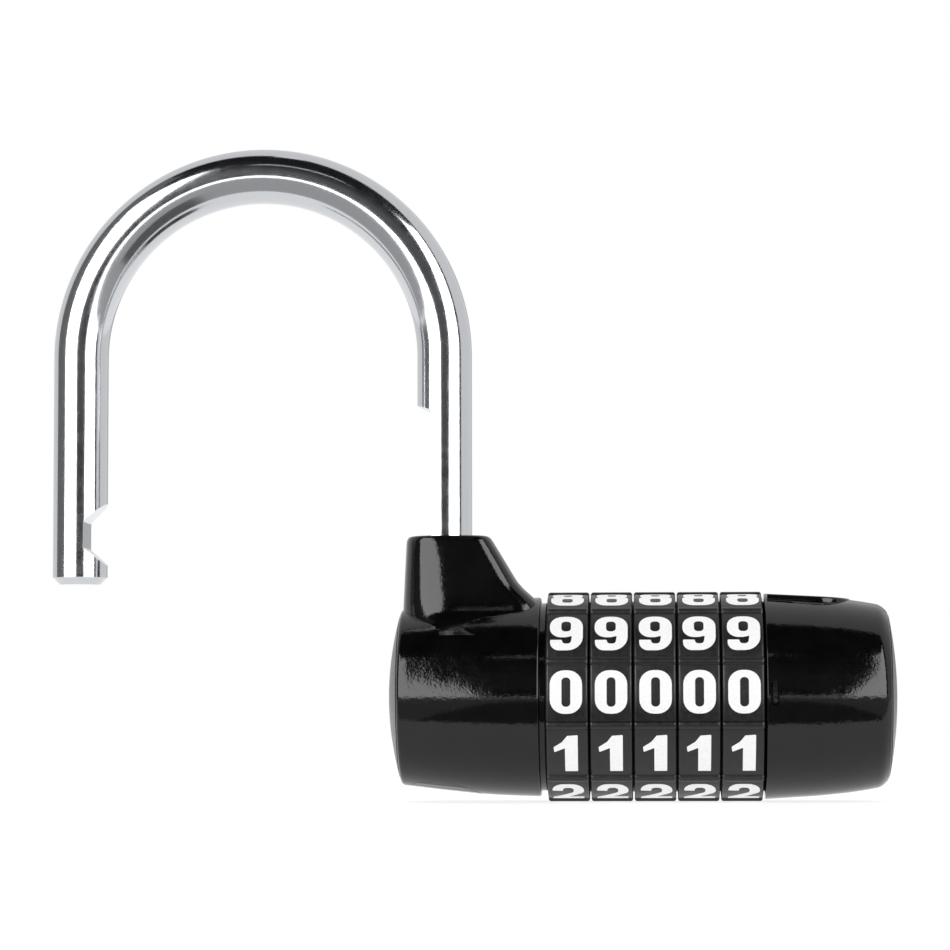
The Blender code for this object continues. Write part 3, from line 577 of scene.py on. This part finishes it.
# Outlines in millimetres, from (distance off the barrel's axis, place along it, corner radius):
# from the axis beside the dials, out over the collar and the wall, and back inside the rim.
COLLAR_FACE = 13.64
COLLAR_RADIUS = 11.9
HEEL_FACE = 32.2
TOE_FACE = 29.3
RIM_RADIUS = 10.4
RIM_DEPTH = 0.6
HEEL_OUTLINE = [
    (0, -COLLAR_FACE, 0), (COLLAR_RADIUS, -COLLAR_FACE, 0.08), (COLLAR_RADIUS, -14.3, 0),
    (12.62, -14.4, 0.32), (12.4, -21.1, 90), (11.75, -27.2, 120), (11.15, -HEEL_FACE, 0.6),
    (RIM_RADIUS, -HEEL_FACE, 0), (RIM_RADIUS, RIM_DEPTH - HEEL_FACE, 0),
    (0, RIM_DEPTH - HEEL_FACE, 0),
]
TOE_OUTLINE = [
    (0, COLLAR_FACE, 0), (COLLAR_RADIUS, COLLAR_FACE, 0), (12.1, 13.8, 0), (13.0, 13.8, 0.15),
    (12.6, 20.4, 60), (12.15, 25.0, 50), (11.55, 28.4, 2.0), (10.75, TOE_FACE, 0.45),
    (RIM_RADIUS, TOE_FACE, 0), (RIM_RADIUS, TOE_FACE - RIM_DEPTH, 0), (0, TOE_FACE - RIM_DEPTH, 0),
]
BARREL_SEGMENTS = 144
PROFILE_STEP = 1.0 * MM

# Cutters in millimetres, from (radius, height) on the axis of the hole. The heel leg's bore is
# narrow in the neck and widest in the spring chamber, and the sockets take the core tube's ends.
HEEL_BORE = [
    (0, 22), (3.65, 22), (3.65, 15.5), (4.4, 15.5), (4.4, -10.2), (4.8, -10.2), (4.8, -15),
    (0, -15),
]
HEEL_SOCKET = [(0, -13), (5.0, -13), (5.0, -19.7), (3.2, -19.7), (3.2, -21), (0, -21)]
TOE_HOLE = [(0, -7), (3.7, -7), (3.7, 15), (0, 15)]
TOE_SOCKET = [(0, 13), (5.0, 13), (5.0, 27.6), (0, 27.6)]
PIN_BORE = [(0, 3.3), (0.9, 3.3), (0.9, 15), (0, 15)]
HOLE_SEGMENTS = 64
SOCKET_SEGMENTS = 48
PIN_SEGMENTS = 32

# The neck in millimetres: (height above the barrel's axis, heel side, toe side, half depth).
TURRET_LEVELS = [
    (7.6, -30.6, -15.4, 9.6), (8.4, -31.1, -14.9, 8.7), (9.3, -31.75, -14.4, 7.8),
    (10.3, -32.0, -14.2, 7.1), (11.4, -31.95, -14.3, 6.65), (12.1, -31.92, -14.85, 6.45),
    (12.8, -31.88, -15.6, 6.3), (13.6, -31.84, -16.5, 6.15), (14.6, -31.8, -17.4, 6.0),
    (16.0, -31.73, -18.25, 5.87), (17.6, -31.65, -19.2, 5.75), (19.2, -31.57, -20.17, 5.62),
    (19.75, -31.52, -20.5, 5.55), (20.1, -31.38, -20.75, 5.42), (20.27, -31.2, -21.0, 5.25),
    (20.33, -30.9, -21.35, 5.0),
]
TURRET_STEP = 0.4
TURRET_STEPS = 30
TURRET_TOP = [19.5, 19.75, 19.95, 20.1, 20.2, 20.27, 20.31, 20.33]
TURRET_SEGMENTS = 96
# How square the neck's outline is towards the dials and towards the heel end.
TURRET_DIAL_SIDE_POWER = 5.0
TURRET_END_SIDE_POWER = 2.8

# The index mark in millimetres: sides along the barrel, ends above its axis, and for each depth
# of the groove how far its edge spreads.
MARK_SIDES = (14.3, 15.3)
MARK_ENDS = (-1.25, 1.75)
MARK_CORNER = 0.3
MARK_LEVELS = ((12.6, -0.2), (13.0, 0.1), (15, 0.1))

# The land round the toe hole: its top slopes down away from the dials, and its rounded edge
# meets a skirt of (height from the top, spread) that runs into the barrel.
LAND_RADIUS = 4.7 * MM
LAND_ROUND = 0.35 * MM
LAND_ROUND_STEPS = 5
LAND_ARC_STEPS = 40
LAND_LEFT = 14.15 * MM
LAND_TOP = 12.5 * MM
LAND_SLOPE = 0.0507
LAND_SKIRT = [
    (-5 * MM, 1.3 * MM), (-1.6 * MM, 0.75 * MM), (-1.0 * MM, 0.3 * MM), (-0.7 * MM, 0.12 * MM),
]

# The end discs: how far their back lies inside the rim's face and their edge stands off it.
DISC_RADIUS = 10.3 * MM
DISC_BACK = 0.5
DISC_EDGE = 0.15
DISC_STEPS = 24
DISC_SEGMENTS = 128


def axis_profile(points):
    """The (radius, height) profile in metres of an outline with rounded corners."""
    return [(radius * MM, height * MM) for radius, height in rounded(points, closed=False)]


def cutter(name, outline, segments, place):
    """A turned cutter from a sharp-cornered outline in millimetres."""
    profile = [(radius * MM, height * MM) for radius, height in outline]
    return turned_mesh(name, profile, segments, place)


def turret_level(z):
    """Heel side, toe side and half depth of the neck at a height, all in millimetres."""
    for low, high in zip(TURRET_LEVELS, TURRET_LEVELS[1:]):
        if z <= high[0]:
            break
    share = (z - low[0]) / (high[0] - low[0])
    return [a + (b - a) * share for a, b in zip(low[1:], high[1:])]


def turret_mesh():
    """The neck: a rounded box that flares into the barrel and leans away from the dials."""
    foot = TURRET_LEVELS[0][0]
    rings = []
    for z in [foot + TURRET_STEP * i for i in range(TURRET_STEPS)] + TURRET_TOP:
        left, right, half_depth = turret_level(z)
        center = (left + right) / 2
        half = (right - left) / 2
        ring = []
        for i in range(TURRET_SEGMENTS):
            angle = 2 * math.pi * i / TURRET_SEGMENTS
            cosine, sine = math.cos(angle), math.sin(angle)
            power = TURRET_DIAL_SIDE_POWER if cosine > 0 else TURRET_END_SIDE_POWER
            x = center + half * math.copysign(abs(cosine) ** (2 / power), cosine)
            y = half_depth * math.copysign(abs(sine) ** (2 / power), sine)
            ring.append((LOCK_X + x * MM, y * MM, AXIS_Z + z * MM))
        rings.append(ring)
    return skin("turret", rings)


def dense(points, step):
    """Adds points along the straight runs of a profile so that no run is longer than the step."""
    result = [points[0]]
    for (r0, h0), (r1, h1) in zip(points, points[1:]):
        parts = max(1, math.ceil(math.hypot(r1 - r0, h1 - h0) / step))
        for i in range(1, parts + 1):
            result.append((r0 + (r1 - r0) * i / parts, h0 + (h1 - h0) * i / parts))
    return result


def make_heel_housing():
    profile = dense(axis_profile(HEEL_OUTLINE), PROFILE_STEP)
    barrel = turned_mesh("heel_barrel", profile, BARREL_SEGMENTS, BARREL)
    body = cut(barrel, "UNION", turret_mesh())
    bore = cutter("heel_bore", HEEL_BORE, HOLE_SEGMENTS, UPRIGHT)
    socket = cutter("heel_socket", HEEL_SOCKET, SOCKET_SEGMENTS, BARREL)
    mesh = cut(body, "DIFFERENCE", bore, socket, pin_bore("heel_pin"))
    smooth(mesh, 40)
    new_piece("heel_casing", mesh, PAINT, "lock_body", "heel_housing")


def pin_bore(node):
    """A cross hole at the back around a pin."""
    place = Matrix.Translation((middle(node).x, 0, AXIS_Z)) @ Matrix.Rotation(-math.pi / 2, 4, "X")
    return cutter("pin_bore", PIN_BORE, PIN_SEGMENTS, place)


def index_mark():
    """The short upright groove beside the dials that the code is read against."""
    rings = []
    for depth, spread in MARK_LEVELS:
        left, right = MARK_SIDES[0] - spread, MARK_SIDES[1] + spread
        low, high = MARK_ENDS[0] - spread, MARK_ENDS[1] + spread
        corners = [(left, low), (right, low), (right, high), (left, high)]
        outline = rounded([(*corner, MARK_CORNER) for corner in corners])
        rings.append([(LOCK_X + x * MM, -depth * MM, AXIS_Z + z * MM) for x, z in outline])
    return skin("index_mark", rings)


def toe_land():
    """The flat raised land round the toe hole: a rounded plate that runs on to the dials."""
    left = LOCK_X + LAND_LEFT - TOE_HOLE_X
    arc = [math.pi * i / LAND_ARC_STEPS for i in range(LAND_ARC_STEPS + 1)]
    levels = list(LAND_SKIRT)
    for i in range(LAND_ROUND_STEPS + 1):
        turn = math.pi / 2 * i / LAND_ROUND_STEPS
        levels.append((-LAND_ROUND * (1 - math.sin(turn)), -LAND_ROUND * (1 - math.cos(turn))))
    rings = []
    for drop, spread in levels:
        size = LAND_RADIUS + spread
        end = [(size * math.sin(angle), -size * math.cos(angle)) for angle in arc]
        ring = [(left, -size), *end, (left, size)]
        top = AXIS_Z + LAND_TOP + drop
        rings.append([(TOE_HOLE_X + x, y, top - LAND_SLOPE * x) for x, y in ring])
    return skin("toe_land", rings)


def make_toe_housing():
    profile = dense(axis_profile(TOE_OUTLINE), PROFILE_STEP)
    barrel = turned_mesh("toe_barrel", profile, BARREL_SEGMENTS, BARREL)
    body = cut(barrel, "UNION", toe_land())
    hole = cutter("toe_hole", TOE_HOLE, HOLE_SEGMENTS, TOE_UPRIGHT)
    socket = cutter("toe_socket", TOE_SOCKET, SOCKET_SEGMENTS, BARREL)
    mesh = cut(body, "DIFFERENCE", hole, socket, pin_bore("toe_pin"), index_mark())
    smooth(mesh, 40)
    new_piece("toe_casing", mesh, PAINT, "lock_body", "toe_housing")


def make_end_discs():
    """The shallow domes in the housings' ends, each from its back to the middle of its dome."""
    ends = (("heel_end_disc", -1, HEEL_FACE, 1.55), ("toe_end_disc", 1, TOE_FACE, 1.2))
    for node, sign, face, dome in ends:
        back = sign * (face - DISC_BACK) * MM
        profile = [(0.0, back), (DISC_RADIUS, back)]
        for i in range(DISC_STEPS + 1):
            share = 1 - i / DISC_STEPS
            height = DISC_EDGE + (dome - DISC_EDGE) * (1 - share**2)
            profile.append((DISC_RADIUS * share, sign * (face + height) * MM))
        mesh = turned_mesh(node, profile, DISC_SEGMENTS, BARREL)
        smooth(mesh, 40)
        new_piece(node + "_dome", mesh, END_PAINT, "lock_body", node)


# ------------------------------------------------------------------ shackle

RIGHT = Vector((1, 0, 0))
BACK = Vector((0, 1, 0))
HEEL_CHAMFER = 0.35 * MM
TOE_CHAMFER = 0.9 * MM
LEG_STEPS = 24
ARCH_STEPS = 120
ROD_SEGMENTS = 96
CUT_HALF_WIDTH = 8 * MM
CUT_OVERRUN = 1 * MM

# The locking notch in the toe leg: wide at its mouth, and flat at its floor.
NOTCH_HEIGHT = 20.84 * MM
NOTCH_DEPTH = 2.65 * MM
NOTCH_MOUTH_HALF = 4.765 * MM
NOTCH_FLOOR_HALF = 1.79 * MM
# The flat along the heel leg: its two ends, where its upper end runs out, and its depth.
FLAT_LOW = 16.2 * MM
FLAT_HIGH = 36.45 * MM
FLAT_RUN_OUT = 37.2 * MM
FLAT_OVERRUN = 37.3 * MM
FLAT_DEPTH = 2.0 * MM
# The retaining clip's groove round the heel leg.
GROOVE_RADIUS = 2.7 * MM
GROOVE_OUTSIDE = 4.5 * MM
GROOVE_LOW = 14.45 * MM
GROOVE_HIGH = 15.25 * MM


def shackle_path():
    """(center, direction out of the bend, radius) along the bar, from the heel to the toe."""
    radius = (HEEL_X - TOE_X) / 2
    bend_z = SHACKLE_HIGH.z - ROD_RADIUS - radius
    bend = Vector((HEEL_X - radius, 0, bend_z))
    heel_end, toe_end = SHACKLE_LOW.z, SHACKLE_TOE_END
    path = [(Vector((HEEL_X, 0, heel_end)), RIGHT, ROD_RADIUS - HEEL_CHAMFER)]

    def leg(x, start, end, out):
        for i in range(LEG_STEPS + 1):
            path.append((Vector((x, 0, start + (end - start) * i / LEG_STEPS)), out, ROD_RADIUS))

    leg(HEEL_X, heel_end + HEEL_CHAMFER, bend_z, RIGHT)
    for i in range(1, ARCH_STEPS):
        angle = math.pi * i / ARCH_STEPS
        out = Vector((math.cos(angle), 0, math.sin(angle)))
        path.append((bend + out * radius, out, ROD_RADIUS))
    leg(TOE_X, bend_z, toe_end + TOE_CHAMFER, -RIGHT)
    path.append((Vector((TOE_X, 0, toe_end)), -RIGHT, ROD_RADIUS - TOE_CHAMFER))
    return path


def shackle_rings():
    rings = []
    for center, out, size in shackle_path():
        ring = []
        for i in range(ROD_SEGMENTS):
            angle = 2 * math.pi * i / ROD_SEGMENTS
            ring.append(center + out * (size * math.cos(angle)) + BACK * (size * math.sin(angle)))
        rings.append(ring)
    return rings


def slab(name, outline):
    """A prism across the bar from an (x, z, corner radius) outline in metres."""
    corners = rounded(outline)
    return skin(name, [[(x, y, z) for x, z in corners] for y in (-CUT_HALF_WIDTH, CUT_HALF_WIDTH)])


def notch_mesh():
    face = TOE_X + ROD_RADIUS
    outside, floor = face + CUT_OVERRUN, face - NOTCH_DEPTH
    center = AXIS_Z + NOTCH_HEIGHT
    return slab("notch", [
        (outside, center - NOTCH_MOUTH_HALF, 0), (outside, center + NOTCH_MOUTH_HALF, 0),
        (floor, center + NOTCH_FLOOR_HALF, 1.2 * MM), (floor, center - NOTCH_FLOOR_HALF, 0.4 * MM),
    ])


def flat_mesh():
    face = HEEL_X - ROD_RADIUS
    outside, floor = face - CUT_OVERRUN, face + FLAT_DEPTH
    return slab("flat", [
        (floor, AXIS_Z + FLAT_LOW, 0), (floor, AXIS_Z + FLAT_HIGH, 0.4 * MM),
        (face, AXIS_Z + FLAT_RUN_OUT, 0.3 * MM), (outside, AXIS_Z + FLAT_OVERRUN, 0),
        (outside, AXIS_Z + FLAT_LOW, 0),
    ])


def groove_mesh():
    rings = []
    for radius, height in ((GROOVE_OUTSIDE, GROOVE_HIGH), (GROOVE_RADIUS, GROOVE_HIGH),
                           (GROOVE_RADIUS, GROOVE_LOW), (GROOVE_OUTSIDE, GROOVE_LOW)):
        ring = []
        for i in range(ROD_SEGMENTS):
            angle = 2 * math.pi * i / ROD_SEGMENTS
            point = Vector((radius * math.cos(angle), radius * math.sin(angle), height))
            ring.append(UPRIGHT @ point)
        rings.append(ring)
    return skin("groove", rings, loop=True)


def make_shackle():
    bar = skin("shackle_bar", shackle_rings())
    mesh = cut(bar, "DIFFERENCE", notch_mesh(), flat_mesh(), groove_mesh())
    smooth(mesh, 28)
    new_piece("shackle_bar", mesh, CHROME, "shackle_body", "shackle")


# -------------------------------------------------------- carried-over nodes

LIFT_TRAVEL = 20.45 * MM
BOLT_TRAVEL = 2.1 * MM


def dress_nodes():
    """Gives each CAD node that stays its own node material."""
    groups = [
        (STEEL, ["core_tube", "heel_pin", "toe_pin", "bolt_spindle", "thrust_washer"]),
        (STEEL, [f"spacer_washer_{i}" for i in range(1, DIALS)]),
        (BRASS, [f"code_sleeve_{i}" for i in range(1, DIALS + 1)]),
        (SPRING, [f"click_spring_{i}" for i in range(1, DIALS + 1)]),
        (SPRING, ["retaining_clip"]),
        (PAINT, ["chamber_plug"]),
    ]
    for material, names in groups:
        for name in names:
            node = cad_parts[name]
            for slot in node.material_slots:
                slot.material = material


def make_springs():
    """The two coil springs, each a smooth-shaded copy of its CAD node."""
    springs = [
        ("lift_spring", "shackle_lift", (0, 0, 1), 2, LIFT_TRAVEL),
        ("bolt_spring", "bolt_slide", (1, 0, 0), 0, BOLT_TRAVEL),
    ]
    for node, joint, axis, index, travel in springs:
        low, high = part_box(node)
        anchor = list(middle(node))
        anchor[index] = low[index]
        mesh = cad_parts[node].data.copy()
        mesh.name = node + "_coil"
        smooth(mesh, 50)
        coil = new_piece(node + "_coil", mesh, SPRING, "lock_body", node)
        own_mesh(coil)


# --------------------------------------------------------- stage and camera

STAGE_CENTER = Vector((LOCK_X - 20 * MM, 0.0, 40 * MM))
STAGE_RADIUS = 1.3
CARD_STEPS = 12
FLOOR_HALF = 6.0
FLOOR_DROP = 0.02 * MM


def emission(name, grey):
    """A plain glow, grey from 0 for black upwards."""
    material = bpy.data.materials.new(name)
    material.use_nodes = True
    tree = material.node_tree
    tree.nodes.remove(tree.nodes["Principled BSDF"])
    glow = tree.nodes.new("ShaderNodeEmission")
    glow.inputs["Color"].default_value = (grey, grey, grey, 1.0)
    tree.links.new(glow.outputs["Emission"], tree.nodes["Material Output"].inputs["Surface"])
    return material


def only_in_reflections(panel):
    panel.visible_camera = False
    panel.visible_diffuse = False
    panel.visible_shadow = False


def direction(azimuth, elevation):
    """Azimuth 0 points at the camera (-Y), positive to the right (+X), degrees."""
    a, e = math.radians(azimuth), math.radians(elevation)
    return Vector((math.sin(a) * math.cos(e), -math.cos(a) * math.cos(e), math.sin(e)))


def card(name, corners, grey, radius=STAGE_RADIUS):
    """A glowing or dark panel on a sphere round the object, seen only in reflections.

    Corners are (azimuth, elevation) in degrees: low left, low right, high right, high left.
    """
    shape = bmesh.new()
    grid = []
    for i in range(CARD_STEPS + 1):
        across = i / CARD_STEPS
        low = [a + (b - a) * across for a, b in zip(corners[0], corners[1])]
        high = [a + (b - a) * across for a, b in zip(corners[3], corners[2])]
        line = []
        for j in range(CARD_STEPS + 1):
            azimuth, elevation = [a + (b - a) * j / CARD_STEPS for a, b in zip(low, high)]
            line.append(shape.verts.new(STAGE_CENTER + direction(azimuth, elevation) * radius))
        grid.append(line)
    for i in range(CARD_STEPS):
        for j in range(CARD_STEPS):
            shape.faces.new((grid[i][j], grid[i + 1][j], grid[i + 1][j + 1], grid[i][j + 1]))
    mesh = mesh_of(name, shape)
    panel = bpy.data.objects.new(name, mesh)
    SCENE.collection.objects.link(panel)
    mesh.materials.append(emission(name, grey))
    only_in_reflections(panel)


def band(name, azimuths, elevations, grey, radius=STAGE_RADIUS):
    """A card between two azimuths and two elevations."""
    (left, right), (low, high) = azimuths, elevations
    card(name, [(left, low), (right, low), (right, high), (left, high)], grey, radius)


def table(name, far, near, grey, left=-0.6, right=0.6, height=0.25 * MM):
    """A strip just above the floor in front of the lock, seen only in reflections."""
    shape = bmesh.new()
    corners = [(left, far), (right, far), (right, near), (left, near)]
    shape.faces.new([shape.verts.new((x, y, height)) for x, y in corners])
    mesh = mesh_of(name, shape)
    strip = bpy.data.objects.new(name, mesh)
    SCENE.collection.objects.link(strip)
    mesh.materials.append(emission(name, grey))
    only_in_reflections(strip)


def make_stage():
    """A white room, and the panels, walls and table that show in the lacquer and the chrome."""
    world = bpy.data.worlds.new("studio")
    SCENE.world = world
    world.use_nodes = True
    background = world.node_tree.nodes["Background"]
    background.inputs["Color"].default_value = (1, 1, 1, 1)
    background.inputs["Strength"].default_value = 1.0

    shape = bmesh.new()
    bmesh.ops.create_grid(shape, x_segments=1, y_segments=1, size=FLOOR_HALF)
    mesh = mesh_of("floor", shape)
    floor = bpy.data.objects.new("floor", mesh)
    SCENE.collection.objects.link(floor)
    floor.location.z = -FLOOR_DROP
    material = bpy.data.materials.new("floor_white")
    material.use_nodes = True
    shader = material.node_tree.nodes["Principled BSDF"]
    shader.inputs["Base Color"].default_value = (0.25, 0.25, 0.25, 1)
    shader.inputs["Roughness"].default_value = 0.9
    shader.inputs["Emission Color"].default_value = (1, 1, 1, 1)
    shader.inputs["Emission Strength"].default_value = 0.78
    mesh.materials.append(material)

    near = STAGE_RADIUS * 0.9
    band("dark_room_left", (-105, 0), (-4, 86), 0.012)
    band("dark_room_right", (0, 77), (-4, 86), 0.012)
    card("panel_left", [(-61, -7), (-10, -6), (-27, 46), (-68, 46)], 5.0, near)
    card("panel_right", [(16.5, -8), (66, -8), (66, 48), (38, 44)], 5.0, 0.7)
    band("grey_left", (-104, -62), (-5, 60), 0.17, near)
    band("backdrop", (78, 254), (-4, 86), 0.85)
    for low, high, grey in ((5, 14, 0.09), (14, 24, 0.10), (24, 34, 0.06), (34, 44, 0.03)):
        band(f"wall_{low}", (-16, 24), (low, high), grey, STAGE_RADIUS * 0.95)
    card("roof_line", [(-12, 44), (12, 44), (12, 46), (-12, 46)], 1.2, near)
    # The shaded strip beside the lock lies on the wider ones.
    table("table_near", -120 * MM, -27 * MM, 0.12, -12 * MM, 62 * MM, 0.3 * MM)
    table("table_shade", -430 * MM, -27.5 * MM, 0.44)
    table("table_edge", -1200 * MM, -430 * MM, 3.0)
    band("notch_shade", (158, 178), (-4, 20), 0.5, near)


def make_camera():
    """On the photo's line of sight: low, in front of the dials, aimed a little left and up."""
    camera = bpy.data.cameras.new("camera")
    camera.lens = 133.9
    camera.sensor_width = 36.0
    camera.clip_start = 0.01
    holder = bpy.data.objects.new("camera", camera)
    SCENE.collection.objects.link(holder)
    holder.location = ORIGIN + Vector((-0.5, -450.0, -4.62)) * MM
    yaw, pitch, roll = math.radians(-2.84), math.radians(4.18), math.radians(-0.11)
    turn = Matrix.Rotation(-yaw, 4, "Z") @ Matrix.Rotation(math.pi / 2 + pitch, 4, "X")
    turn = turn @ Matrix.Rotation(roll, 4, "Z")
    holder.rotation_euler = turn.to_euler()
    SCENE.camera = holder
    SCENE.view_settings.view_transform = "Standard"


make_camera()
make_stage()
make_dials()
make_heel_housing()
make_toe_housing()
make_end_discs()
make_shackle()
make_springs()
dress_nodes()
